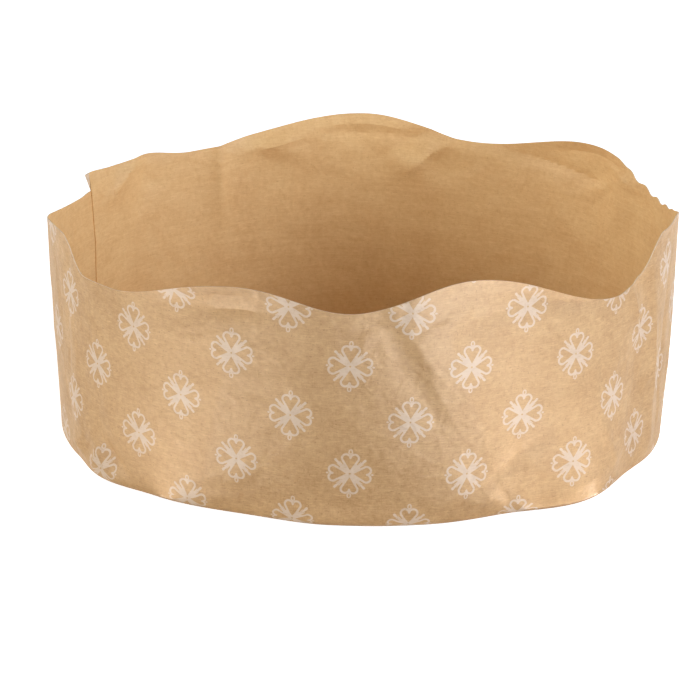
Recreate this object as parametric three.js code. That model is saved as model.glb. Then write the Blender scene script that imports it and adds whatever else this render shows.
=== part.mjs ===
// A low round panettone mould: a wavy-edged band of kraft paper, lapped and glued into a ring and
// folded in under itself in pleats, with a paper disc glued on the fold as its floor.
// Millimetres, +Z up. The origin is on the table, at the middle of the base.
// Angles are in degrees round the wall, 0 at the front (-Y) and growing towards +X.
import * as THREE from "three";
import { mergeVertices } from "three/addons/utils/BufferGeometryUtils.js";

// Main sizes
const RIM_DIAMETER = 200;
const BASE_DIAMETER = 193.5;
const WALL_HEIGHT = 70.9; // to the middle of the waves
const WAVE_HEIGHT = 9; // from a usual trough to a usual crest

// Paper
const BAND_PAPER = 0.3;
const DISC_PAPER = 0.4;
const GLUE_GAP = 0.3;

// The fold under the wall, and its pleats
const FOLD_RADIUS = 1.6;
const FLANGE_WIDTH = 13;
const PLEAT_COUNT = 36;
const PLEAT_FLAT = 0.4; // share of a pleat that lies flat on the table
const PLEAT_TUCK = 0.45; // share of a pleat at which its tucked edge ends
const PLEAT_PLIES = 2; // plies that a pleat adds at the flange's edge
const DISC_INSET = 4.3; // from the base's circle to the disc's edge

// The glued lap of the band's two ends
const SEAM_ANGLE = -115.2;
const LAP_WIDTH = 12;
const LAP_EASE = 24; // length along which the inner end comes back to the round
const LAP_TIP = 2.4; // how far the inner end's top corner leans past the seam
const LAP_TIP_DEPTH = 5;
const SLIT = 0.03; // degrees from a paper end to the column beside it

// The springy edge: crests lean out near the rim
const FLARE_OUT = 1.7;
const FLARE_DEPTH = 5;

// Small crimps where the rim was gathered
const CRIMP_HEIGHT = 0.9;
const CRIMP_PITCH = 5.2;
const CRIMP_FROM = 92;
const CRIMP_TO = 122;

// The rim's crests and troughs from one end of the band to the other, as [angle, level].
// Level 1 is half a wave above the wall's height, and -1 is half a wave below it.
const RIM_WAVES = [
  [SEAM_ANGLE, -1.72],
  [-111, -1.84],
  [-67, 0.56],
  [-57.2, -1.62],
  [-50, -1.6],
  [-20.5, 0.72],
  [-1.6, -0.82],
  [18.8, 1.22],
  [50.5, -1.95],
  [58, -1.18],
  [65, 1.22],
  [70, 1.31],
  [104, -0.95],
  [127.5, 1.05],
  [157, -0.69],
  [180, 1],
  [216.5, -0.91],
  [227, -0.44],
  [235, -0.56],
  [SEAM_ANGLE + 360, -0.38],
];

// How far the hand-opened base strays from its circle, as [angle, outwards].
const BASE_STRAY = [
  [-90, 0],
  [-66, 0.2],
  [-54, 2.4],
  [-40, -0.5],
  [-21, -2.6],
  [-5, -0.4],
  [14, 0.1],
  [26, -0.8],
  [42.5, 4.4],
  [60, 0],
  [70, 0.8],
  [90, 0],
  [112, -1],
  [140, 1.4],
  [165, -0.8],
  [190, 0.8],
  [218, -1.2],
  [240, 0.8],
  [270, 0],
];

// Soft dents and bulges of the wall. Each lies round a point of the wall, given by its angle and by its
// share of the wall's height. It reaches along a line that leans from upright by lean degrees, spreads
// across that line, and stands out of the wall by out.
const DENTS = [
  { angle: 7, level: 0.8, reach: 22, spread: 7, lean: -35, out: -1.3 },
  { angle: 16, level: 0.66, reach: 24, spread: 9, lean: -35, out: 1.2 },
  { angle: 33, level: 0.22, reach: 15, spread: 7, lean: -35, out: -1.2 },
  { angle: 24, level: 0.1, reach: 9, spread: 6, lean: 20, out: 1.1 },
  { angle: 60, level: 0.62, reach: 26, spread: 6, lean: 4, out: -1.3 },
  { angle: -52, level: 0.16, reach: 15, spread: 5, lean: -25, out: -1.3 },
  { angle: -64, level: 0.3, reach: 22, spread: 7, lean: 0, out: 1 },
  { angle: -26, level: 0.55, reach: 26, spread: 16, lean: 15, out: 0.9 },
  { angle: 119, level: 0.82, reach: 14, spread: 6, lean: -35, out: -1.4 },
  { angle: 128, level: 0.9, reach: 12, spread: 5, lean: -60, out: 1.2 },
  { angle: 150, level: 0.4, reach: 30, spread: 18, lean: 0, out: -0.9 },
  { angle: 166, level: 0.86, reach: 8, spread: 5, lean: 40, out: 1.4 },
  { angle: 172, level: 0.84, reach: 9, spread: 5, lean: 50, out: -1.3 },
  { angle: 196, level: 0.9, reach: 10, spread: 3.5, lean: 75, out: -1.2 },
  { angle: 228, level: 0.84, reach: 14, spread: 6, lean: -20, out: 1.3 },
  { angle: 244, level: 1.02, reach: 6, spread: 6, lean: 0, out: 1.5 },
  { angle: -90, level: 0.5, reach: 26, spread: 14, lean: 0, out: -0.8 },
];

// Fineness of the surfaces
const COLUMN_SHARES = [0, PLEAT_FLAT, PLEAT_TUCK, 0.75]; // of a pleat
const FINE_STEP = 1.3;
const FINE_STRETCHES = [
  [-66, -56],
  [54, 68],
  [CRIMP_FROM, CRIMP_TO],
];
const LEDGE_DEPTH = 9; // from the rim to the lower rows
const UPPER_ROWS = [1, 0.72, 0.4]; // shares of the way from the ledge to the rim
const LOWER_ROWS = [1, 0.84, 0.67, 0.5, 0.33, 0.15]; // shares of the ledge's height
const FOLD_TURNS = [0, 45, 90];
const DISC_SIDES = 72;

const rimRadius = RIM_DIAMETER / 2;
const baseRadius = BASE_DIAMETER / 2;
const pleatAngle = 360 / PLEAT_COUNT;
const seamEnd = SEAM_ANGLE + 360;
const lapStart = seamEnd - THREE.MathUtils.radToDeg(LAP_WIDTH / rimRadius);
const easeStart = lapStart - THREE.MathUtils.radToDeg(LAP_EASE / rimRadius);
const flangeTop = BAND_PAPER * (1 + PLEAT_PLIES);

// The value at an angle on half-cosine waves through a list of [angle, value].
function through(points, angle) {
  const next = Math.max(1, points.findIndex(([a]) => a >= angle));
  const [a0, v0] = points[next - 1];
  const [a1, v1] = points[next];
  const share = (1 - Math.cos((Math.PI * (angle - a0)) / (a1 - a0))) / 2;
  return v0 + (v1 - v0) * share;
}

// The same angle, as one from the given start and less than a turn on.
function turnFrom(start, angle) {
  return start + THREE.MathUtils.euclideanModulo(angle - start, 360);
}

function crimp(angle) {
  if (angle < CRIMP_FROM || angle > CRIMP_TO) return 0;
  const within = Math.sin((Math.PI * (angle - CRIMP_FROM)) / (CRIMP_TO - CRIMP_FROM));
  return CRIMP_HEIGHT * within * Math.sin((2 * Math.PI * angle) / CRIMP_PITCH);
}

function rimHeight(angle) {
  return WALL_HEIGHT + (WAVE_HEIGHT / 2) * through(RIM_WAVES, angle) + crimp(angle);
}

function dentAt({ angle, level, reach, spread, lean, out }, atAngle, height) {
  const across = THREE.MathUtils.degToRad(turnFrom(-180, atAngle - angle)) * rimRadius;
  const up = height - level * WALL_HEIGHT;
  const tilt = THREE.MathUtils.degToRad(lean);
  const along = (up * Math.cos(tilt) + across * Math.sin(tilt)) / reach;
  const beside = (across * Math.cos(tilt) - up * Math.sin(tilt)) / spread;
  return out * Math.exp(-along * along - beside * beside);
}

function flareAt(angle, height) {
  const crest = THREE.MathUtils.smoothstep(through(RIM_WAVES, angle), -0.4, 1);
  return FLARE_OUT * crest * Math.exp((height - rimHeight(angle)) / FLARE_DEPTH);
}

// Radius of the wall's outer face.
function outerRadius(angle, height) {
  const share = height / WALL_HEIGHT;
  const stray = through(BASE_STRAY, turnFrom(-90, angle)) * (1 - share);
  const straight = baseRadius + (rimRadius - baseRadius) * share + stray;
  const dents = DENTS.reduce((sum, dent) => sum + dentAt(dent, angle, height), 0);
  const free = THREE.MathUtils.smoothstep(height, FOLD_RADIUS, FOLD_RADIUS * 4);
  return straight + dents * free + flareAt(angle, height);
}

// How far the band's inner end lies inside the round, to leave room for the outer end behind it.
function insetAt(angle) {
  return BAND_PAPER * THREE.MathUtils.smoothstep(angle, easeStart, lapStart);
}

// How far the flange's edge is lifted by the pleats tucked under it.
function pleatLift(angle) {
  const share = THREE.MathUtils.euclideanModulo(angle / pleatAngle + PLEAT_FLAT / 2, 1);
  if (share < PLEAT_FLAT + 0.01) return 0;
  return (BAND_PAPER * PLEAT_PLIES * (1 - share)) / (1 - PLEAT_TUCK);
}

// Angles of the columns from one end of the band to the other.
function columnAngles() {
  const angles = [SEAM_ANGLE, SEAM_ANGLE + SLIT, lapStart - SLIT, lapStart + SLIT, seamEnd - SLIT];
  const isFree = (angle, room) => angles.every((other) => Math.abs(angle - other) > room);
  const firstPleat = Math.ceil(SEAM_ANGLE / pleatAngle);
  for (let pleat = firstPleat; pleat < firstPleat + PLEAT_COUNT; pleat += 1) {
    for (const share of COLUMN_SHARES) {
      const angle = (pleat + share - PLEAT_FLAT / 2) * pleatAngle;
      if (angle > SEAM_ANGLE && angle < seamEnd && isFree(angle, 0.2)) angles.push(angle);
    }
  }
  for (const [from, to] of FINE_STRETCHES) {
    for (let angle = from; angle <= to; angle += FINE_STEP) {
      if (isFree(angle, FINE_STEP / 2)) angles.push(angle);
    }
  }
  return angles.sort((a, b) => a - b);
}

// The heights of a column's upper and lower rows. The seam's first column has only the outer end's rim,
// so its upper rows all lie on that rim.
function rowHeights(angle) {
  const rim = rimHeight(angle);
  const atLap = angle > lapStart || angle === SEAM_ANGLE;
  const ledge = atLap ? rimHeight(SEAM_ANGLE) : rim - LEDGE_DEPTH;
  const upper = UPPER_ROWS.map((share) => ledge + (rim - ledge) * share);
  const lower = LOWER_ROWS.map((share) => FOLD_RADIUS + (ledge - FOLD_RADIUS) * share);
  return { rim, upper: angle === SEAM_ANGLE ? upper.map(() => ledge) : upper, lower };
}

// The closed section of the band at one column, as points [angle, radius, height]: down the outside,
// round the fold, along the flange and back, and up the inside.
function bandSection(angle) {
  const { rim, upper, lower } = rowHeights(angle);
  const inset = insetAt(angle);
  const wallPoint = (height, depth) => {
    const leaning = angle > seamEnd - 2 * SLIT ? Math.max(0, 1 - (rim - height) / LAP_TIP_DEPTH) : 0;
    const lean = THREE.MathUtils.radToDeg((LAP_TIP * leaning ** 2) / rimRadius);
    return [angle + lean, outerRadius(angle, height) - depth, height];
  };
  const upperDepth = angle === SEAM_ANGLE ? BAND_PAPER : inset;
  const outside = [
    ...upper.map((height) => wallPoint(height, upperDepth)),
    ...lower.map((height) => wallPoint(height, angle > lapStart ? 0 : inset)),
  ];
  const inside = [...upper, ...lower].map((height) => wallPoint(height, inset + BAND_PAPER));

  const foot = outerRadius(angle, FOLD_RADIUS) - FOLD_RADIUS;
  const foldPoint = (turn, radius) => {
    const t = THREE.MathUtils.degToRad(turn);
    return [angle, foot + radius * Math.cos(t), FOLD_RADIUS - radius * Math.sin(t)];
  };
  const flangeEdge = foot + FOLD_RADIUS - FLANGE_WIDTH;
  return [
    ...outside,
    ...FOLD_TURNS.map((turn) => foldPoint(turn, FOLD_RADIUS)),
    [angle, flangeEdge, pleatLift(angle)],
    [angle, flangeEdge, flangeTop],
    ...FOLD_TURNS.map((turn) => foldPoint(turn, FOLD_RADIUS - BAND_PAPER)).reverse(),
    ...inside.reverse(),
  ];
}

function toSpace([angle, radius, height]) {
  const a = THREE.MathUtils.degToRad(angle);
  return [radius * Math.sin(a), -radius * Math.cos(a), height];
}

// One closed skin over a ring of closed sections. Rows that meet in one point share it there. The quads of
// the outside and of the inside are split along the same diagonal, so that the paper keeps its thickness.
function skinOver(sections) {
  const rows = sections[0].length;
  const grid = new THREE.BufferGeometry();
  const positions = sections.flat().flatMap(toSpace);
  grid.setAttribute("position", new THREE.Float32BufferAttribute(positions, 3));
  const corners = [];
  sections.forEach((_, column) => {
    const here = column * rows;
    const next = ((column + 1) % sections.length) * rows;
    for (let row = 0; row < rows; row += 1) {
      const below = (row + 1) % rows;
      const quad = [here + row, here + below, next + below, next + row];
      const [a, b, c, d] = row < rows / 2 ? quad : [quad[1], quad[2], quad[3], quad[0]];
      corners.push(a, b, d, d, b, c);
    }
  });
  grid.setIndex(corners);
  const merged = mergeVertices(grid, 1e-5);
  const index = [...merged.index.array];
  const kept = index.filter((_, i) => {
    const [a, b, c] = index.slice(i - (i % 3), i - (i % 3) + 3);
    return a !== b && b !== c && c !== a;
  });
  merged.setIndex(kept);
  merged.computeVertexNormals();
  return merged;
}

const printedKraft = new THREE.MeshStandardMaterial({
  name: "printed_kraft",
  color: 0xcfa878,
  roughness: 0.6,
  metalness: 0,
});
const plainKraft = new THREE.MeshStandardMaterial({
  name: "plain_kraft",
  color: 0xc39a66,
  roughness: 0.75,
  metalness: 0,
});

const mould = new THREE.Group();

const sideWall = new THREE.Mesh(skinOver(columnAngles().map(bandSection)), printedKraft);
sideWall.name = "side_wall";
mould.add(sideWall);

const discRadius = baseRadius - DISC_INSET;
const discShape = new THREE.CylinderGeometry(discRadius, discRadius, DISC_PAPER, DISC_SIDES);
const baseDisc = new THREE.Mesh(discShape, plainKraft);
baseDisc.name = "base_disc";
baseDisc.rotation.x = Math.PI / 2;
baseDisc.position.z = flangeTop + GLUE_GAP + DISC_PAPER / 2;
mould.add(baseDisc);

export default mould;
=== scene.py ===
"""A low paper panettone mould: its printed side wall, its floor, and a plain studio round it."""

import math

import bmesh
import bpy
import numpy as np
from bpy.props import FloatProperty, FloatVectorProperty, IntProperty
from mathutils import Matrix, Vector


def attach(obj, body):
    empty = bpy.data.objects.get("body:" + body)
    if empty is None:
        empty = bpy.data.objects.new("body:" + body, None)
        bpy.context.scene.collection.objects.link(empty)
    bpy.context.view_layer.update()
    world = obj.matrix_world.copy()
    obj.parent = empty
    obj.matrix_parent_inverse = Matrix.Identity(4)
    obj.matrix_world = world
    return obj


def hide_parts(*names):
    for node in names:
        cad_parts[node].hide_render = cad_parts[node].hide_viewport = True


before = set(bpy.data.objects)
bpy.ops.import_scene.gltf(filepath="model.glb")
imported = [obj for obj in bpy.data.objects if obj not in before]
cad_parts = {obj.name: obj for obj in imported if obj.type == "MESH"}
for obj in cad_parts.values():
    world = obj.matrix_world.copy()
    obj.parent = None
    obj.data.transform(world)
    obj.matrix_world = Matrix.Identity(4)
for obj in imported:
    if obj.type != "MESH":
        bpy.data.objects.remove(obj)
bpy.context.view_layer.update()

bl_info = {
    "name": "Paper panettone mould",
    "version": (1, 0, 0),
    "blender": (4, 5, 0),
    "location": "3D View > Sidebar > Mould",
    "description": "Builds a low paper baking mould with a wavy rim and a printed wall",
    "category": "Add Mesh",
}

# Angles are in degrees round the wall, 0 at the front (-Y) and growing towards +X. Lengths are in metres,
# apart from those in the tables of marks. The wall's shape is its solid's, with finer rows, and with sharp
# creases, small crumples and folded crests added.
SEAM_ANGLE = -115.2
LAP_WIDTH = 0.012
LAP_EASE = 0.024  # the stretch before the lap where the inner end eases inwards
LAP_TIP = 0.0024  # how far the outer end's top corner leans past the seam
LAP_TIP_DEPTH = 0.005
SLIT = 0.03  # degrees between the columns on the two sides of a step
LEDGE_DEPTH = 0.009  # from the rim to the row where the lap's outer end stops
FLARE_DEPTH = 0.0034  # from the rim to the fold of a flared crest
CRIMP_HEIGHT = 0.0006
CRIMP_PITCH = 5.2
CRIMP_STRETCH = (92, 122)
PLEAT_FLAT = 0.4  # share of a pleat that lies flat
PLEAT_TUCK = 0.45  # share of a pleat where its tuck has risen
PLEAT_PLIES = 2
GLUE_GAP = 0.0003  # between the flange and the floor

SMALL_CREASES = 130
CREASE_ROUNDING = 0.045  # how blunt the crisp top of a crease is, in shares of its spread, squared
SHARP_EDGE = math.radians(24)

# How finely the pieces are divided.
WALL_COLUMNS = 640
RIM_ROWS = 8
WALL_ROWS = 52
FOLD_ROWS = 6
FLANGE_ROWS = 6
FLOOR_COLUMNS = 240
FLOOR_RINGS = 26

# The rim's crests and troughs, as (angle, level). Level 1 is half a wave above the wall's height.
RIM_WAVES = (
    (SEAM_ANGLE, -1.72),
    (-111, -1.84),
    (-67, 0.56),
    (-57.2, -1.62),
    (-50, -1.6),
    (-20.5, 0.72),
    (-1.6, -0.82),
    (18.8, 1.22),
    (50.5, -1.95),
    (58, -1.18),
    (65, 1.22),
    (70, 1.285),
    (104, -0.95),
    (127.5, 1.05),
    (157, -0.69),
    (180, 1),
    (216.5, -0.91),
    (227, -0.44),
    (235, -0.56),
    (SEAM_ANGLE + 360, -0.38),
)

# Crests that are folded along a line just below the rim, as (angle, spread in degrees, millimetres
# outwards at the rim).
FLARES = (
    (-25, 11, 3.2),
    (20, 12, 0.6),
    (67, 8, 1.4),
    (130, 12, -2.0),
    (-179, 22, 1.4),
    (-127, 8, 1.2),
)

# How far the base strays from its circle, as (angle, outwards in millimetres).
BASE_STRAY = (
    (-90, 0),
    (-66, 0.2),
    (-54, 2.4),
    (-40, -0.5),
    (-21, -2.6),
    (-5, -0.4),
    (14, 0.1),
    (26, -0.8),
    (42.5, 4.4),
    (60, 0),
    (70, 0.8),
    (90, 0),
    (112, -1),
    (140, 1.4),
    (165, -0.8),
    (190, 0.8),
    (218, -1.2),
    (240, 0.8),
    (270, 0),
)

# Soft dents, as (angle, share of the wall's height, reach, spread, lean in degrees, outwards). The reach lies
# along a line that leans from upright, the spread lies across it, and the lengths are in millimetres.
DENTS = (
    (7, 0.8, 22, 7, -35, -1.3),
    (16, 0.66, 24, 9, -35, 1.2),
    (33, 0.22, 15, 7, -35, -1.2),
    (24, 0.1, 9, 6, 20, 1.1),
    (60, 0.62, 26, 6, 4, -1.3),
    (-52, 0.16, 15, 5, -25, -1.3),
    (-64, 0.3, 22, 7, 0, 1),
    (-26, 0.55, 26, 16, 15, 0.9),
    (119, 0.82, 14, 6, -35, -1.4),
    (128, 0.9, 12, 5, -60, 1.2),
    (150, 0.4, 30, 18, 0, -0.9),
    (166, 0.86, 8, 5, 40, 1.4),
    (172, 0.84, 9, 5, 50, -1.3),
    (196, 0.9, 10, 3.5, 75, -1.2),
    (228, 0.84, 14, 6, -20, 1.3),
    (244, 1.02, 6, 6, 0, 1.5),
    (-90, 0.5, 26, 14, 0, -0.8),
    (-90, 1, 24, 14, 90, -0.2),
)

# Sharp creases, listed as the dents are. Each has a crisp line along its middle.
CREASES = (
    (10, 0.78, 14, 2.4, -35, 1.3),
    (13, 0.6, 10, 2.2, -30, 0.9),
    (24, 0.93, 9, 1.8, 76, -0.8),
    (38, 0.92, 12, 1.8, -77, -1.5),
    (15, 0.1, 9, 2.2, 53, 1.6),
    (20, 0.06, 9, 2, 58, 1.4),
    (26, 0.12, 7, 2, -40, -1.2),
    (28, 0.24, 10, 3, 56, -1.6),
    (44, 0.09, 12, 2.6, 82, 0.9),
    (50, 0.2, 10, 2.2, -35, 0.9),
    (57, 0.76, 13, 2, -22, 1.6),
    (60, 0.89, 9, 2, 79, -1.6),
    (66, 0.5, 24, 2.4, -6, 1.6),
    (73, 0.5, 26, 2.2, 5, -1.4),
    (81, 0.5, 24, 2.4, 8, 1.0),
    (-50.5, 0.13, 10, 2, -58, -1.8),
    (-55, 0.1, 7, 2, 30, 1.2),
    (-59, 0.12, 6, 2, 84, -1.4),
    (-62, 0.07, 7, 2.2, -78, 1.3),
    (-4, 0.09, 15, 4, 88, -1.2),
    (-30, 0.09, 13, 2.4, 80, -0.9),
    (-22, 0.93, 14, 1.8, 88, -1.2),
    (-126, 0.9, 12, 2.6, -56, -2.0),
    (-150, 0.84, 18, 3.4, 0, -2.2),
    (-164, 0.94, 12, 2.2, -79, -2.2),
    (-158, 0.97, 9, 2.4, 84, 1.4),
    (177, 0.97, 24, 2.4, 89, 1.4),
    (171, 0.93, 10, 2.2, -60, 2.0),
    (166, 0.88, 11, 2.6, -55, -2.7),
    (124, 0.88, 15, 2.4, -70, -1.5),
    (138, 0.91, 20, 2.2, 84, 1.8),
    (119, 0.96, 12, 2.8, 80, -1.8),
    (124, 0.86, 14, 2.6, -50, 1.2),
    (-82, 0.6, 28, 2.6, 6, 0.6),
    (-38, 0.4, 15, 2.6, -48, 0.7),
    (-66, 0.5, 20, 2.6, 4, -0.7),
)

# Finishes of the papers, as (contrast of the grain, streaks, flecks, roughness, sheen, crumples, height of
# the grain).
FINISHES = {
    "printed_kraft": (0.95, 0.03, 0.4, 0.5, 0.26, 0.35, 0.00006),
    "inner_kraft_painted_light": (0.55, 0.3, 0.2, 0.5, 0.24, 0.2, 0.00006),
    "floor_kraft": (0.6, 0.1, 0.5, 0.65, 0.3, 0.3, 0.00006),
    "cut_paper_edge": (0.4, 0.1, 0.2, 0.8, 0.3, 0.1, 0.00003),
}

# Shares of a paper's colour that its darker clouds, lighter clouds and flecks have, in red, green and blue.
DARK_TONE = (0.74, 0.68, 0.6)
LIGHT_TONE = (1.2, 1.27, 1.38)
FLECK_TONE = (0.5, 0.4, 0.3)
LIGHTEST = 0.95
INK_COVER = 0.9

WHITE = (1.0, 1.0, 1.0)
COOL_WHITE = (0.96, 1.0, 1.12)

# The soft boxes, as (name, azimuth, elevation, watts, colour). Azimuth 0 is the front. It grows towards +X.
SOFT_BOXES = (
    ("right_high_box", 70, 30, 8.2, COOL_WHITE),
    ("right_low_box", 70, 12, 6.7, COOL_WHITE),
    ("left_high_box", -70, 30, 4.0, WHITE),
    ("left_low_box", -70, 12, 6.4, WHITE),
    ("left_back_box", -118, 30, 2.8, WHITE),
    ("back_box", 165, 12, 2.6, WHITE),
    ("front_box", 0, 10, 3.6, WHITE),
)

BOX_DISTANCE = 1.35
BOX_SIZE = (0.7, 0.6)
BOX_AIM = (0, 0, 0.05)

# Small panels on the table that face up and give the paper only its sheen, as (name, x, y, watts).
SHEEN_PANELS = (
    ("right_front_sheen", 0.11, -0.26, 1.5),
    ("right_sheen", 0.115, -0.135, 0.45),
    ("left_sheen", -0.122, -0.14, 0.4),
)
SHEEN_SIZE = (0.13, 0.13)
SHEEN_HEIGHT = 0.001

AMBIENT = 0.05
BACKDROP_GLOW = 0.8
BACKDROP_REACH = 3.0

# The picture's width in pixels, the sensor's width in millimetres, and how far the picture's middle lies
# right of and above the mould's, in pixels.
PICTURE_WIDTH = 700
SENSOR_WIDTH = 36
PICTURE_OFFSET = (-11.5, -37.4)


class MouldSizes(bpy.types.PropertyGroup):
    """Sizes of the mould's pieces."""

    rim_diameter: FloatProperty(
        name="Rim diameter", description="Across the wall's outside at the rim", default=0.2, unit="LENGTH"
    )
    base_diameter: FloatProperty(
        name="Base diameter", description="Across the outside at the base", default=0.1935, unit="LENGTH"
    )
    wall_height: FloatProperty(
        name="Wall height", description="To the middle of the rim's waves", default=0.0709, unit="LENGTH"
    )
    wave_height: FloatProperty(
        name="Wave height", description="From a trough of the rim to a crest", default=0.009, unit="LENGTH"
    )
    paper: FloatProperty(
        name="Paper", description="Thickness of the wall's paper", default=0.0003, unit="LENGTH"
    )
    fold_radius: FloatProperty(
        name="Fold radius", description="Of the round edge under the wall", default=0.0016, unit="LENGTH"
    )
    flange_width: FloatProperty(
        name="Flange width", description="How far it reaches under the floor", default=0.013, unit="LENGTH"
    )
    pleat_count: IntProperty(name="Pleats", description="Pleats in the fold", default=36, min=3)
    disc_inset: FloatProperty(
        name="Floor inset", description="From the base's circle to the floor", default=0.0043, unit="LENGTH"
    )
    disc_paper: FloatProperty(
        name="Floor paper", description="Thickness of the floor's paper", default=0.0004, unit="LENGTH"
    )
    crumple: FloatProperty(
        name="Crumple", description="Height of the small random creases", default=0.0004, unit="LENGTH"
    )


class MouldColours(bpy.types.PropertyGroup):
    """Colours of the paper and the print. The inside's colour holds painted light: it is lighter than the
    same kraft outside.
    """

    outside: FloatVectorProperty(
        name="Outside", description="Kraft paper outside", default=(0.522, 0.314, 0.139), subtype="COLOR"
    )
    # Painted light: the inside is painted much lighter than the same kraft outside. This stands in for light
    # that the lamps don't bring into the mould.
    inside: FloatVectorProperty(
        name="Inside", description="Kraft paper inside", default=(0.89, 0.535, 0.24), subtype="COLOR"
    )
    floor: FloatVectorProperty(
        name="Floor", description="Paper of the floor", default=(0.5, 0.3, 0.13), subtype="COLOR"
    )
    cut_edge: FloatVectorProperty(
        name="Cut edge", description="The paper's cut edge", default=(0.8, 0.62, 0.42), subtype="COLOR"
    )
    ink: FloatVectorProperty(
        name="Ink", description="Pale ink of the print", default=(0.66, 0.52, 0.39), subtype="COLOR"
    )


class MouldPrint(bpy.types.PropertyGroup):
    """Layout of the printed flowers."""

    pitch: FloatProperty(
        name="Pitch", description="From flower to flower along a row", default=0.0355, unit="LENGTH"
    )
    row_step: FloatProperty(
        name="Row step", description="To the next row, half a pitch along", default=0.017, unit="LENGTH"
    )
    start: FloatProperty(
        name="Start", description="From the front to the first flower", default=-0.0031, unit="LENGTH"
    )
    row_height: FloatProperty(
        name="Row height", description="Of a row at the front, above the table", default=0.0172, unit="LENGTH"
    )
    slope: FloatProperty(name="Slope", description="Fall of the rows along the strip", default=0.04)
    line: FloatProperty(name="Line", description="Width of the printed line", default=0.00068, unit="LENGTH")


class StudioSettings(bpy.types.PropertyGroup):
    """Lamps, backdrop and camera."""

    lens: FloatProperty(name="Lens", description="Focal length in millimetres", default=159.94)
    distance: FloatProperty(name="Distance", description="Camera to object", default=1.0, unit="LENGTH")
    elevation: FloatProperty(
        name="Elevation", description="Camera above the horizon", default=math.radians(18.06), unit="ROTATION"
    )
    roll: FloatProperty(name="Roll", description="Camera's roll", default=math.radians(0.49), unit="ROTATION")
    backdrop: FloatVectorProperty(
        name="Backdrop", description="Floor and backdrop", default=(0.82, 0.82, 0.82), subtype="COLOR"
    )


def waves(points, angle):
    """Half-cosine waves through the (angle, value) points, read at an array of angles."""
    at, value = np.array(points, dtype=float).T
    i = np.clip(np.searchsorted(at, angle) - 1, 0, len(at) - 2)
    share = (1 - np.cos(np.pi * (angle - at[i]) / (at[i + 1] - at[i]))) / 2
    return value[i] + (value[i + 1] - value[i]) * share


def smooth_step(value, low, high):
    """0 below low, 1 above high, and the cubic 3 t^2 - 2 t^3 between."""
    t = np.clip((value - low) / (high - low), 0, 1)
    return t * t * (3 - 2 * t)


def on_dent(sizes, marks, angle, height):
    """Distances along and across each mark's line, as shares of its reach and spread. marks has a row for
    each column of the tables."""
    at, level, reach, spread, lean, _ = marks
    turn = (angle[..., None] - at + 180) % 360 - 180
    across = np.radians(turn) * sizes.rim_diameter * 500
    up = height[..., None] * 1000 - level * sizes.wall_height * 1000
    tilt = np.radians(lean)
    along = (up * np.cos(tilt) + across * np.sin(tilt)) / reach
    beside = (across * np.cos(tilt) - up * np.sin(tilt)) / spread
    return along, beside


def small_creases():
    """Random small creases with a row for each column of CREASES, always the same ones."""
    chance = np.random.default_rng(7)
    count = SMALL_CREASES
    return np.stack(
        (
            chance.uniform(-180, 180, count),
            chance.uniform(0.05, 1.0, count),
            chance.uniform(4, 16, count),
            chance.uniform(1.4, 3, count),
            chance.normal(-15, 45, count),
            chance.choice((-1, 1), count) * chance.uniform(0.4, 1, count),
        )
    )


def dented(sizes, angle, height):
    """How far the dents and creases stand out: a bell, exp(-t^2), across each dent, and a tent,
    exp(-sqrt(t^2 + rounding)), across each crease, both fading along the line as a bell does."""
    soft = np.array(DENTS, dtype=float).T
    along, beside = on_dent(sizes, soft, angle, height)
    out = (soft[5] * np.exp(-along * along - beside * beside)).sum(-1)
    crisp = np.array(CREASES, dtype=float).T
    tiny = small_creases()
    tiny[5] *= sizes.crumple * 1000
    for marks in (crisp, tiny):
        along, beside = on_dent(sizes, marks, angle, height)
        out = out + (marks[5] * np.exp(-along * along - np.sqrt(beside * beside + CREASE_ROUNDING))).sum(-1)
    return out / 1000


def rim_height(sizes, angle):
    """The wall's height, half a wave times the level, and the crimps, a sine that swells in its stretch."""
    start, end = CRIMP_STRETCH
    within = np.sin(np.pi * np.clip((angle - start) / (end - start), 0, 1))
    crimps = CRIMP_HEIGHT * within * np.sin(2 * np.pi * angle / CRIMP_PITCH)
    return sizes.wall_height + sizes.wave_height / 2 * waves(RIM_WAVES, angle) + crimps


def flare(sizes, angle, height):
    """How far the folded crests lean out: a bell round each crest's angle, times a straight slope from the
    fold to the rim."""
    slope = np.clip(1 + (height - rim_height(sizes, angle)) / FLARE_DEPTH, 0, 1)
    at, spread, out = np.array(FLARES, dtype=float).T
    turn = (angle[..., None] - at + 180) % 360 - 180
    return (out / 1000 * np.exp(-((turn / spread) ** 2))).sum(-1) * slope


def outer_radius(sizes, angle, height):
    """A cone from the base's radius to the rim's, plus the base's stray, which fades upwards, the dents,
    which leave the foot free, and the folded crests."""
    share = height / sizes.wall_height
    stray = waves(BASE_STRAY, (angle + 90) % 360 - 90) / 1000 * (1 - share)
    straight = sizes.base_diameter / 2 * (1 - share) + sizes.rim_diameter / 2 * share
    free = smooth_step(height, sizes.fold_radius, sizes.fold_radius * 4)
    return straight + stray + dented(sizes, angle, height) * free + flare(sizes, angle, height)


def lap_angles(sizes):
    """Where the band's inner end begins to ease inwards, where the lap begins, and where the band ends."""
    end = SEAM_ANGLE + 360
    start = end - math.degrees(2 * LAP_WIDTH / sizes.rim_diameter)
    return start - math.degrees(2 * LAP_EASE / sizes.rim_diameter), start, end


def column_angles(sizes):
    """Even steps round the band, with a column close on each side of the lap's start and of the seam."""
    _, lap_start, end = lap_angles(sizes)
    lap_count = max(4, round(WALL_COLUMNS * (end - lap_start) / 360))
    round_part = np.linspace(SEAM_ANGLE + SLIT, lap_start - SLIT, WALL_COLUMNS - lap_count)
    lap_part = np.linspace(lap_start + SLIT, end - SLIT, lap_count)
    return np.concatenate(([SEAM_ANGLE], round_part, lap_part))


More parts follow.
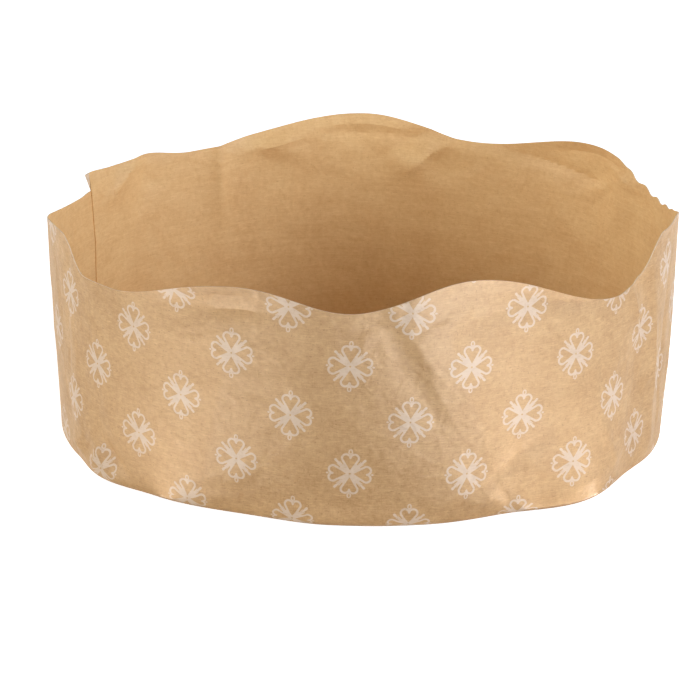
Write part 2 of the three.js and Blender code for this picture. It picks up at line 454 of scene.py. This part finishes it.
def wall_rows(sizes, angle):
    """Heights of the wall's rows in each column, from the rim down. The rim's rows end at the ledge, which
    is the outer end's rim in the lap and a step below the rim elsewhere. At the seam they all lie on that
    rim."""
    _, lap_start, _ = lap_angles(sizes)
    rim = rim_height(sizes, angle)
    seam_rim = rim_height(sizes, np.array([SEAM_ANGLE]))[0]
    at_lap = (angle > lap_start) | (angle == SEAM_ANGLE)
    ledge = np.where(at_lap, seam_rim, rim - LEDGE_DEPTH)
    top = np.where(angle == SEAM_ANGLE, ledge, rim)
    upper = ledge + (top - ledge) * np.linspace(1, 0.12, RIM_ROWS)[:, None]
    foot = sizes.fold_radius
    lower = foot + (ledge - foot) * np.linspace(1, 0.03, WALL_ROWS)[:, None]
    return np.concatenate((upper, lower)).T


def wall_faces(sizes, angle, height):
    """Angle and radius of the wall's outer and inner faces. In the lap the rows below the ledge are two plies
    thick, and the last column's top leans past the seam."""
    ease_start, lap_start, end = lap_angles(sizes)
    inset = (sizes.paper * smooth_step(angle, ease_start, lap_start))[:, None]
    is_upper = np.arange(height.shape[1]) < RIM_ROWS
    at_seam = (angle == SEAM_ANGLE)[:, None]
    outer_depth = np.where((angle > lap_start)[:, None] & ~is_upper, 0, inset)
    outer_depth = np.where(at_seam & is_upper, sizes.paper, outer_depth)
    below_rim = (rim_height(sizes, angle)[:, None] - height) / LAP_TIP_DEPTH
    near_end = smooth_step(angle, end - 3, end)[:, None]
    lean = near_end * LAP_TIP * np.clip(1 - below_rim, 0, 1) ** 2
    at = angle[:, None] + np.degrees(lean / (sizes.rim_diameter / 2))
    radius = outer_radius(sizes, at, height)
    return at, radius - outer_depth, radius - inset - sizes.paper


def pleat_lift(sizes, angle):
    """Lift of the flange's edge: 0 on a pleat's flat part, a smooth step up to its tuck, then a fall."""
    share = (angle * sizes.pleat_count / 360 + PLEAT_FLAT / 2) % 1
    rise = smooth_step(share, PLEAT_FLAT, PLEAT_TUCK)
    fall = np.where(share > PLEAT_TUCK, (1 - share) / (1 - PLEAT_TUCK), 1)
    return sizes.paper * PLEAT_PLIES * rise * fall


def fold_and_flange(sizes, angle):
    """Radius and height of the fold, a quarter circle under the wall, and of the flange, straight lines from
    the fold to its lifted edge. The outside comes first, then the inside."""
    foot = outer_radius(sizes, angle, np.full_like(angle, sizes.fold_radius)) - sizes.fold_radius
    turn = np.linspace(0, np.pi / 2, FOLD_ROWS)
    along = np.linspace(0, 1, FLANGE_ROWS + 1)[1:]
    reach = sizes.flange_width - sizes.fold_radius
    top = sizes.paper * (1 + PLEAT_PLIES)
    sides = []
    for bend, end_height in (
        (sizes.fold_radius, pleat_lift(sizes, angle)),
        (sizes.fold_radius - sizes.paper, np.full_like(angle, top)),
    ):
        start = sizes.fold_radius - bend
        radius = np.concatenate((foot[:, None] + bend * np.cos(turn), foot[:, None] - reach * along), axis=1)
        arc = np.broadcast_to(sizes.fold_radius - bend * np.sin(turn), (len(angle), FOLD_ROWS))
        height = np.concatenate((arc, start + (end_height[:, None] - start) * along), axis=1)
        sides.append((radius, height))
    return sides


def to_space(angle, radius, height):
    """Turns angle, radius and height into X = r sin a, Y = -r cos a, and Z."""
    a = np.radians(angle)
    return np.stack((radius * np.sin(a), -radius * np.cos(a), height), axis=-1)


def grid_mesh(name, points, materials, row_material, closed_rows, strip=None):
    """A mesh over a grid of points [column, row]. The columns run round in a ring, and so do the rows if they
    are closed. strip gives each point's place on the flat paper, with one more column and row to close the
    rings."""
    columns, rows = points.shape[:2]
    row_faces = rows if closed_rows else rows - 1
    column, row = np.meshgrid(np.arange(columns), np.arange(row_faces), indexing="ij")
    next_column, next_row = (column + 1) % columns, (row + 1) % rows
    corners = (column, row), (column, next_row), (next_column, next_row), (next_column, row)
    faces = np.stack([c * rows + r for c, r in corners], axis=-1).reshape(-1, 4)
    mesh = bpy.data.meshes.new(name)
    mesh.from_pydata(points.reshape(-1, 3).tolist(), [], faces.tolist())
    for material in materials:
        mesh.materials.append(material)
    mesh.polygons.foreach_set("material_index", np.tile(row_material[:row_faces], columns).astype(np.int32))
    if strip is not None:
        ahead = column + 1
        places = (column, row), (column, next_row), (ahead, next_row), (ahead, row)
        on_strip = np.stack([strip[c, r] for c, r in places], axis=-2)
        mesh.uv_layers.new(name="strip").data.foreach_set("uv", on_strip.reshape(-1).astype(np.float32))
    return mesh


def finish_piece(name, mesh, node):
    """Merges points that meet, turns the faces outwards, shades the paper smooth between its sharp edges, and
    hands the piece over in place of its solid."""
    form = bmesh.new()
    form.from_mesh(mesh)
    bmesh.ops.remove_doubles(form, verts=form.verts, dist=1e-7)
    bmesh.ops.dissolve_degenerate(form, edges=form.edges, dist=1e-8)
    if form.calc_volume(signed=True) < 0:
        bmesh.ops.reverse_faces(form, faces=form.faces)
    form.to_mesh(mesh)
    form.free()
    mesh.polygons.foreach_set("use_smooth", np.ones(len(mesh.polygons), dtype=bool))
    mesh.set_sharp_from_angle(angle=SHARP_EDGE)
    mesh.update()
    piece = bpy.data.objects.new(name, mesh)
    bpy.context.scene.collection.objects.link(piece)
    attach(piece, "root")
    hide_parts(node)


class Wiring:
    """Adds nodes to a tree and links them. A value that is a socket is linked, and any other is set."""

    def __init__(self, tree):
        self.tree = tree

    def add(self, kind, inputs=None, **settings):
        node = self.tree.nodes.new(kind)
        for key, value in settings.items():
            setattr(node, key, value)
        for key, value in (inputs or {}).items():
            self.join(value, node.inputs[key])
        return node

    def join(self, value, socket):
        if isinstance(value, bpy.types.NodeSocket):
            self.tree.links.new(value, socket)
        else:
            socket.default_value = value

    def math(self, operation, *values, clamp=False):
        inputs = dict(enumerate(values))
        return self.add("ShaderNodeMath", inputs, operation=operation, use_clamp=clamp).outputs[0]

    def vector(self, operation, *values):
        node = self.add("ShaderNodeVectorMath", dict(enumerate(values)), operation=operation)
        return node.outputs["Value" if operation in ("DOT_PRODUCT", "LENGTH", "DISTANCE") else "Vector"]

    def combine(self, x, y):
        return self.add("ShaderNodeCombineXYZ", {"X": x, "Y": y}).outputs[0]

    def split(self, vector):
        return self.add("ShaderNodeSeparateXYZ", {0: vector}).outputs

    def shared(self, name, inputs):
        return self.add("ShaderNodeGroup", inputs, node_tree=shared_group(name)).outputs

    def seen(self):
        """1 for the camera's rays, and for rays that are reflected or let through."""
        rays = self.add("ShaderNodeLightPath").outputs
        direct = self.math("MAXIMUM", rays["Is Camera Ray"], rays["Is Glossy Ray"])
        return self.math("MAXIMUM", direct, rays["Is Transmission Ray"])

    def step(self, value, low, high):
        """0 where the value is low and 1 where it is high, which may be the smaller of the two."""
        ends = {"Value": value, "From Min": low, "From Max": high}
        return self.add("ShaderNodeMapRange", ends, interpolation_type="SMOOTHSTEP").outputs[0]

    def mix(self, share, a, b, kind="RGBA"):
        """a where the share is 0 and b where it is 1. The kind is RGBA or VECTOR."""
        node = self.add("ShaderNodeMix", {0: share}, data_type=kind)
        for value, socket in zip((a, b), [socket for socket in node.inputs if socket.type == kind][-2:]):
            self.join((*value, 1.0) if isinstance(value, tuple) else value, socket)
        return next(socket for socket in node.outputs if socket.type == kind)


def node_group(name, inputs, outputs):
    """A new shader node group with its sockets, its wiring, its input node's outputs, and its output node."""
    group = bpy.data.node_groups.new(name, "ShaderNodeTree")
    for socket, kind, default in inputs:
        made = group.interface.new_socket(name=socket, in_out="INPUT", socket_type=kind)
        if default is not None:
            made.default_value = default
    for socket, kind in outputs:
        group.interface.new_socket(name=socket, in_out="OUTPUT", socket_type=kind)
    wiring = Wiring(group)
    return group, wiring, wiring.add("NodeGroupInput").outputs, wiring.add("NodeGroupOutput").inputs


def kraft_group(name):
    """Kraft paper's grain: soft clouds, mottles, fibres that lie in several directions, streaks along the
    strip, and dark flecks."""
    group, w, given, out = node_group(
        name,
        [
            ("Vector", "NodeSocketVector", None),
            ("Contrast", "NodeSocketFloat", 1.0),
            ("Streaks", "NodeSocketFloat", 0.3),
            ("Flecks", "NodeSocketFloat", 0.5),
        ],
        [("Tone", "NodeSocketFloat"), ("Flecks", "NodeSocketFloat"), ("Height", "NodeSocketFloat")],
    )
    place = given["Vector"]

    def noise(scale_x, scale_y, detail, turn=0.0):
        mapped = w.add(
            "ShaderNodeMapping",
            {"Vector": place, "Rotation": (0.0, 0.0, turn), "Scale": (scale_x, scale_y, scale_y)},
        ).outputs[0]
        return w.add(
            "ShaderNodeTexNoise", {"Vector": mapped, "Scale": 1.0, "Detail": detail, "Roughness": 0.6}
        ).outputs[0]

    clouds = noise(75, 95, 3.0)
    mottle = noise(560, 640, 2.0)
    grit = noise(1900, 2200, 1.0)
    fibre = w.step(noise(320, 2300, 1.0, 0.5), 0.5, 0.72)
    total = None
    for share, part in (
        (1.0, w.math("SUBTRACT", clouds, 0.5)),
        (0.85, w.math("SUBTRACT", mottle, 0.5)),
        (0.5, w.math("SUBTRACT", grit, 0.5)),
        (0.2, fibre),
        (0.17, w.step(noise(300, 2200, 1.0, -0.8), 0.5, 0.72)),
        (-0.2, w.step(noise(340, 2400, 1.0, 0.15), 0.55, 0.75)),
        (-0.16, w.step(noise(2000, 330, 1.0, 0.3), 0.55, 0.75)),
    ):
        part = w.math("MULTIPLY", part, share)
        total = part if total is None else w.math("ADD", total, part)
    streaks = w.math("MULTIPLY", w.math("SUBTRACT", noise(30, 900, 2.0), 0.5), given["Streaks"])
    tone = w.math("ADD", w.math("MULTIPLY_ADD", total, given["Contrast"], 0.5), streaks, clamp=True)
    long_flecks = w.step(noise(800, 1900, 0.0, 0.9), 0.74, 0.8)
    tall_flecks = w.step(noise(1700, 900, 0.0, 0.4), 0.76, 0.82)
    flecks = w.math("MAXIMUM", long_flecks, tall_flecks)
    w.join(tone, out["Tone"])
    w.join(w.math("MULTIPLY", flecks, given["Flecks"]), out["Flecks"])
    w.join(w.math("MULTIPLY_ADD", mottle, 0.6, w.math("MULTIPLY", fibre, 0.3)), out["Height"])
    return group


def crumple_group(name):
    """Soft creases of handled paper: ridges where a noise crosses its middle value, at two scales."""
    group, w, given, out = node_group(
        name,
        [("Vector", "NodeSocketVector", None), ("Scale", "NodeSocketFloat", 55.0)],
        [("Height", "NodeSocketFloat")],
    )
    total = None
    for share, size, seed in ((1.0, 1.0, 3.0), (0.5, 2.3, 11.0)):
        moved = w.vector("ADD", given["Vector"], (seed, seed, seed))
        scale = w.math("MULTIPLY", given["Scale"], size)
        noise = w.add(
            "ShaderNodeTexNoise", {"Vector": moved, "Scale": scale, "Detail": 2.0, "Distortion": 0.4}
        ).outputs[0]
        ridge = w.math("ABSOLUTE", w.math("SUBTRACT", noise, 0.5))
        part = w.math("MULTIPLY", w.step(ridge, 0.16, 0.0), share)
        total = part if total is None else w.math("ADD", total, part)
    w.join(total, out["Height"])
    return group


def flower_group(name):
    """The printed flower, repeated on a half-drop lattice. All four petals are one petal: a point's larger
    and smaller distance from the flower's middle lines stand for its place along and across a petal. Lengths
    are in millimetres, but the Vector is in metres."""
    group, w, given, out = node_group(
        name,
        [
            ("Vector", "NodeSocketVector", None),
            ("Pitch", "NodeSocketFloat", 35.5),
            ("Row Step", "NodeSocketFloat", 17.0),
            ("Start", "NodeSocketFloat", 0.0),
            ("Row Height", "NodeSocketFloat", 17.0),
            ("Slope", "NodeSocketFloat", 0.0),
            ("Line", "NodeSocketFloat", 0.8),
        ],
        [("Mask", "NodeSocketFloat")],
    )
    strip = w.split(w.vector("MULTIPLY", given["Vector"], (1000.0, 1000.0, 1000.0)))
    along = w.math("SUBTRACT", strip[0], given["Start"])
    up = w.math("MULTIPLY_ADD", along, given["Slope"], w.math("SUBTRACT", strip[1], given["Row Height"]))
    half_pitch = w.math("MULTIPLY", given["Pitch"], 0.5)
    row_step = given["Row Step"]
    near = []
    for shift in (0.0, 1.0):
        x = w.math("MULTIPLY_ADD", half_pitch, shift, along)
        y = w.math("MULTIPLY_ADD", row_step, shift, up)
        wrapped_x = w.math("WRAP", x, half_pitch, w.math("MULTIPLY", half_pitch, -1.0))
        wrapped_y = w.math("WRAP", y, row_step, w.math("MULTIPLY", row_step, -1.0))
        near.append(w.combine(wrapped_x, wrapped_y))
    is_second = w.math("LESS_THAN", w.vector("LENGTH", near[1]), w.vector("LENGTH", near[0]))
    here = w.mix(is_second, near[0], near[1], kind="VECTOR")

    drop = w.split(here)[1]
    turned = w.vector("SUBTRACT", here, w.combine(w.math("MULTIPLY", drop, given["Slope"]), 0.0))
    sides = w.split(w.vector("ABSOLUTE", turned))
    far = w.math("MAXIMUM", sides[0], sides[1])
    close = w.math("MINIMUM", sides[0], sides[1])
    folded = w.combine(far, close)
    middle = w.vector("LENGTH", folded)
    upright = w.math("GREATER_THAN", sides[1], sides[0])
    soft = 0.07

    def bar(start, end, start_radius, end_radius):
        """Distance from a bar with round ends, whose radius changes evenly from end to end."""
        span = Vector(end) - Vector(start)
        from_start = w.vector("SUBTRACT", folded, (*start, 0.0))
        ahead = w.vector("DOT_PRODUCT", from_start, (*span.normalized(), 0.0))
        share = w.math("DIVIDE", ahead, span.length, clamp=True)
        nearest = w.combine(w.math("MULTIPLY", share, span.x), w.math("MULTIPLY", share, span.y))
        radius = w.math("MULTIPLY_ADD", share, end_radius - start_radius, start_radius)
        return w.math("SUBTRACT", w.vector("DISTANCE", from_start, nearest), radius)

    lobe = bar((1.15, 0.0), (5.0, 1.25), 0.02, 0.92)
    beside_axis = w.math("SUBTRACT", close, w.math("MULTIPLY", w.math("SUBTRACT", far, 1.15), 0.33))
    below_notch = w.math("SUBTRACT", w.math("SUBTRACT", far, 4.75), w.math("MULTIPLY", close, 0.8))
    heart = w.step(w.math("MINIMUM", lobe, w.math("MAXIMUM", beside_axis, below_notch)), soft, -soft)
    outline = w.step(w.math("SUBTRACT", lobe, given["Line"]), soft, -soft)
    wedge = w.step(middle, 3.75, 3.55)
    sprig = w.step(bar((2.0, 2.0), (4.4, 4.4), 0.14, 0.42), soft, -soft)
    thorn = w.step(bar((2.5, 2.1), (3.9, 3.15), 0.2, 0.1), soft, -soft)
    stalk = w.step(bar((5.4, 0.0), (6.4, 0.0), 0.2, 0.16), soft, -soft)
    bead_gap = w.math("SUBTRACT", w.math("ABSOLUTE", bar((6.95, 0.0), (7.35, 0.0), 0.5, 0.42)), 0.2)
    bead = w.math("MAXIMUM", w.step(bead_gap, soft, -soft), stalk)
    dot = w.step(bar((6.65, 0.0), (6.85, 0.0), 0.3, 0.26), soft, -soft)
    sideways = w.math("SUBTRACT", 1.0, upright)
    drawn = w.math("MAXIMUM", w.math("MULTIPLY", bead, upright), w.math("MULTIPLY", dot, sideways))
    for part in (outline, wedge, sprig, thorn):
        drawn = w.math("MAXIMUM", drawn, part)
    open_parts = w.math("MULTIPLY", w.math("SUBTRACT", 1.0, heart), w.step(middle, 0.22, 0.36))
    w.join(w.math("MULTIPLY", drawn, open_parts), out["Mask"])
    return group


GROUP_MAKERS = {"kraft grain": kraft_group, "paper crumples": crumple_group, "printed flowers": flower_group}


def shared_group(name):
    """A node group by its name, made once."""
    return bpy.data.node_groups.get(name) or GROUP_MAKERS[name](name)


def toned(colour, shares):
    """A colour times its shares, no lighter than paper gets."""
    return tuple(min(part * share, LIGHTEST) for part, share in zip(colour, shares))


def paper_material(name, colour, coordinates, print_layout=None, ink=None):
    """Kraft paper: its grain changes the colour between a darker and a lighter tone, and raises a fine bump.
    Where it is printed, the ink lies over the grain and lets some of it through."""
    contrast, streaks, flecks, roughness, sheen, crumples, grain_height = FINISHES[name]
    material = bpy.data.materials.new(name)
    material.use_nodes = True
    w = Wiring(material.node_tree)
    w.tree.nodes.clear()
    place = w.add("ShaderNodeTexCoord").outputs[coordinates]
    settings = {"Contrast": contrast, "Streaks": streaks, "Flecks": flecks}
    grain = w.shared("kraft grain", {"Vector": place, **settings})
    tone = w.mix(grain["Tone"], toned(colour, DARK_TONE), toned(colour, LIGHT_TONE))
    tone = w.mix(grain["Flecks"], tone, toned(colour, FLECK_TONE))
    if print_layout is not None:
        flowers = w.shared("printed flowers", {"Vector": place, **print_layout})
        cover = w.math("MULTIPLY", flowers["Mask"], w.step(grain["Tone"], -0.7, 0.8))
        tone = w.mix(w.math("MULTIPLY", cover, INK_COVER), tone, ink)
    crumple = w.shared("paper crumples", {"Vector": place})
    coarse = w.add(
        "ShaderNodeBump", {"Height": crumple["Height"], "Strength": crumples, "Distance": grain_height * 10}
    ).outputs[0]
    fine = w.add(
        "ShaderNodeBump",
        {"Height": grain["Height"], "Strength": 0.5, "Distance": grain_height, "Normal": coarse},
    ).outputs[0]
    shader = w.add(
        "ShaderNodeBsdfPrincipled",
        {"Base Color": tone, "Roughness": roughness, "Normal": fine, "Specular IOR Level": sheen},
    )
    w.add("ShaderNodeOutputMaterial", {"Surface": shader.outputs[0]})
    return material


class MOULD_OT_side_wall(bpy.types.Operator):
    """Builds the side wall: a wavy paper band, lapped at its seam and folded in under itself in pleats"""

    bl_idname = "mould.side_wall"
    bl_label = "Side wall"

    def execute(self, context):
        sizes = context.scene.mould_sizes
        colours = context.scene.mould_colours
        layout = context.scene.mould_print
        in_millimetres = {
            "Pitch": layout.pitch * 1000,
            "Row Step": layout.row_step * 1000,
            "Start": layout.start * 1000,
            "Row Height": layout.row_height * 1000,
            "Slope": layout.slope,
            "Line": layout.line * 1000,
        }
        printed = paper_material("printed_kraft", colours.outside, "UV", in_millimetres, tuple(colours.ink))
        # The inside paper's colour holds painted light: it is lighter than the outside's kraft, in place of
        # light the lamps don't bring inside.
        plain = paper_material("inner_kraft_painted_light", colours.inside, "UV")
        edge = paper_material("cut_paper_edge", colours.cut_edge, "UV")

        angle = column_angles(sizes)
        height = wall_rows(sizes, angle)
        at, outer, inner = wall_faces(sizes, angle, height)
        below, above = fold_and_flange(sizes, angle)
        wide = np.broadcast_to(angle[:, None], below[0].shape)
        points = to_space(
            np.concatenate((at, wide, wide, at), axis=1),
            np.concatenate((outer, below[0], above[0][:, ::-1], inner[:, ::-1]), axis=1),
            np.concatenate((height, below[1], above[1][:, ::-1], height[:, ::-1]), axis=1),
        )
        wall_count, fold_count = height.shape[1], below[0].shape[1]
        row_material = np.zeros(points.shape[1], dtype=int)
        row_material[wall_count + fold_count :] = 1
        row_material[[wall_count + fold_count - 1, -1]] = 2

        under = sizes.fold_radius * 0.5 - np.linspace(0, sizes.flange_width, fold_count)
        under = np.broadcast_to(under, wide.shape)
        rows_up = np.concatenate((height, under, under[:, ::-1], height[:, ::-1]), axis=1)
        mean_radius = (sizes.rim_diameter + sizes.base_diameter) / 4
        strip_along = np.radians(np.append(angle, angle[0] + 360)) * mean_radius
        rows_up = np.concatenate((rows_up, rows_up[:1]))
        strip = np.stack((np.broadcast_to(strip_along[:, None], rows_up.shape), rows_up), axis=-1)
        mesh = grid_mesh("side_wall_paper", points, (printed, plain, edge), row_material, True, strip)
        finish_piece("side_wall_paper", mesh, "side_wall")
        return {"FINISHED"}


class MOULD_OT_base_disc(bpy.types.Operator):
    """Builds the floor: a flat paper disc glued on the fold"""

    bl_idname = "mould.base_disc"
    bl_label = "Floor"

    def execute(self, context):
        sizes = context.scene.mould_sizes
        colours = context.scene.mould_colours
        paper = paper_material("floor_kraft", colours.floor, "Object")
        edge = paper_material("cut_paper_edge", colours.cut_edge, "UV")
        edge_radius = sizes.base_diameter / 2 - sizes.disc_inset
        bottom = sizes.paper * (1 + PLEAT_PLIES) + GLUE_GAP
        ring = np.concatenate((np.linspace(0, 0.97, FLOOR_RINGS), [0.985, 0.995, 1.0])) * edge_radius
        radius = np.concatenate((ring, ring[::-1]))
        is_top = np.arange(len(radius)) < len(ring)
        angle = np.linspace(-180, 180, FLOOR_COLUMNS, endpoint=False)
        across, round_ = np.broadcast_arrays(radius, angle[:, None])
        height = np.where(is_top, bottom + sizes.disc_paper, bottom) + np.zeros_like(across)
        points = to_space(round_, across, height)
        row_material = np.zeros(len(radius), dtype=int)
        row_material[len(ring) - 1] = 1
        mesh = grid_mesh("floor_paper", points, (paper, edge), row_material, False)
        finish_piece("floor_paper", mesh, "base_disc")
        return {"FINISHED"}


def area_lamp(name, place, aim, size, power, colour=WHITE):
    """A soft box at a place, turned to face a point."""
    lamp = bpy.data.lights.new(name, "AREA")
    lamp.shape = "RECTANGLE"
    lamp.size, lamp.size_y = size
    lamp.energy = power
    lamp.color = colour
    holder = bpy.data.objects.new(name, lamp)
    holder.location = place
    holder.visible_camera = False
    holder.rotation_euler = (Vector(aim) - Vector(place)).to_track_quat("-Z", "Y").to_euler()
    bpy.context.scene.collection.objects.link(holder)
    return holder


def backdrop_material(colour):
    """A pale matt sheet that glows a little, but only to the camera and reflections, so that it looks white
    and still takes the shadow."""
    material = bpy.data.materials.new("backdrop_sheet")
    material.use_nodes = True
    w = Wiring(material.node_tree)
    w.tree.nodes.clear()
    shader = w.add(
        "ShaderNodeBsdfPrincipled",
        {
            "Base Color": (*colour, 1.0),
            "Roughness": 0.9,
            "Specular IOR Level": 0.0,
            "Emission Color": (1.0, 1.0, 1.0, 1.0),
            "Emission Strength": w.math("MULTIPLY", w.seen(), BACKDROP_GLOW),
        },
    )
    w.add("ShaderNodeOutputMaterial", {"Surface": shader.outputs[0]})
    return material


def world_light(scene):
    """White to the camera, and an even soft grey to the object."""
    world = bpy.data.worlds.new("studio_world")
    world.use_nodes = True
    w = Wiring(world.node_tree)
    w.tree.nodes.clear()
    strength = w.math("MULTIPLY_ADD", w.seen(), 1.0 - AMBIENT, AMBIENT)
    glow = w.add("ShaderNodeBackground", {"Color": (1.0, 1.0, 1.0, 1.0), "Strength": strength})
    w.add("ShaderNodeOutputWorld", {"Surface": glow.outputs[0]})
    scene.world = world


def photo_camera(scene, studio, wall_height):
    """A camera in front of the mould, raised and rolled a little, and aimed so that the mould lies in the
    picture as it does in the photograph."""
    rise, roll = studio.elevation, studio.roll
    forward = Vector((0, math.cos(rise), -math.sin(rise)))
    right = Vector((1, 0, 0))
    up = right.cross(forward)
    up, right = up * math.cos(roll) - right * math.sin(roll), right * math.cos(roll) + up * math.sin(roll)
    place = Vector((0, 0, wall_height / 2)) - forward * studio.distance
    pixel = SENSOR_WIDTH / (PICTURE_WIDTH * studio.lens)
    aim = (forward + right * (PICTURE_OFFSET[0] * pixel) + up * (PICTURE_OFFSET[1] * pixel)).normalized()
    side = aim.cross(up).normalized()
    turn = Matrix((side, side.cross(aim), -aim)).transposed()
    camera = bpy.data.cameras.new("photo_camera")
    camera.sensor_width = SENSOR_WIDTH
    camera.lens = studio.lens
    holder = bpy.data.objects.new("photo_camera", camera)
    holder.matrix_world = Matrix.Translation(place) @ turn.to_4x4()
    scene.collection.objects.link(holder)
    scene.camera = holder


class MOULD_OT_studio(bpy.types.Operator):
    """Sets up the backdrop, the soft lamps and the camera"""

    bl_idname = "mould.studio"
    bl_label = "Studio"

    def execute(self, context):
        scene = context.scene
        studio = scene.mould_studio
        reach = BACKDROP_REACH
        sheet = bpy.data.meshes.new("backdrop")
        corners = [(-reach, -reach, 0), (reach, -reach, 0), (reach, reach, 0), (-reach, reach, 0)]
        sheet.from_pydata(corners, [], [(0, 1, 2, 3)])
        sheet.materials.append(backdrop_material(tuple(studio.backdrop)))
        floor = bpy.data.objects.new("backdrop", sheet)
        scene.collection.objects.link(floor)
        for name, azimuth, elevation, power, colour in SOFT_BOXES:
            rise = math.radians(elevation)
            toward = Vector(to_space(azimuth, math.cos(rise), math.sin(rise)))
            area_lamp(name, Vector(BOX_AIM) + toward * BOX_DISTANCE, BOX_AIM, BOX_SIZE, power, colour)
        for name, x, y, power in SHEEN_PANELS:
            panel = area_lamp(name, (x, y, SHEEN_HEIGHT), (x, y, 1), SHEEN_SIZE, power)
            panel.visible_diffuse = False
        world_light(scene)
        photo_camera(scene, studio, scene.mould_sizes.wall_height)
        scene.view_settings.view_transform = "Standard"
        return {"FINISHED"}


class MOULD_PT_sidebar(bpy.types.Panel):
    """Lists the mould's pieces and their settings"""

    bl_idname = "MOULD_PT_sidebar"
    bl_label = "Paper mould"
    bl_space_type = "VIEW_3D"
    bl_region_type = "UI"
    bl_category = "Mould"

    def draw(self, context):
        for operator in OPERATORS:
            self.layout.operator(operator.bl_idname)
        for settings in (getattr(context.scene, name) for name in SETTINGS):
            for name in settings.bl_rna.properties.keys():
                if name not in ("rna_type", "name"):
                    self.layout.prop(settings, name)


OPERATORS = (MOULD_OT_side_wall, MOULD_OT_base_disc, MOULD_OT_studio)
SETTINGS = {
    "mould_sizes": MouldSizes,
    "mould_colours": MouldColours,
    "mould_print": MouldPrint,
    "mould_studio": StudioSettings,
}


def register():
    for kind in (*SETTINGS.values(), *OPERATORS, MOULD_PT_sidebar):
        bpy.utils.register_class(kind)
    for name, kind in SETTINGS.items():
        setattr(bpy.types.Scene, name, bpy.props.PointerProperty(type=kind))


def unregister():
    for name in SETTINGS:
        delattr(bpy.types.Scene, name)
    for kind in (MOULD_PT_sidebar, *reversed(OPERATORS), *reversed(SETTINGS.values())):
        bpy.utils.unregister_class(kind)


def main():
    register()
    bpy.ops.mould.side_wall()
    bpy.ops.mould.base_disc()
    bpy.ops.mould.studio()


if __name__ == "__main__":
    main()
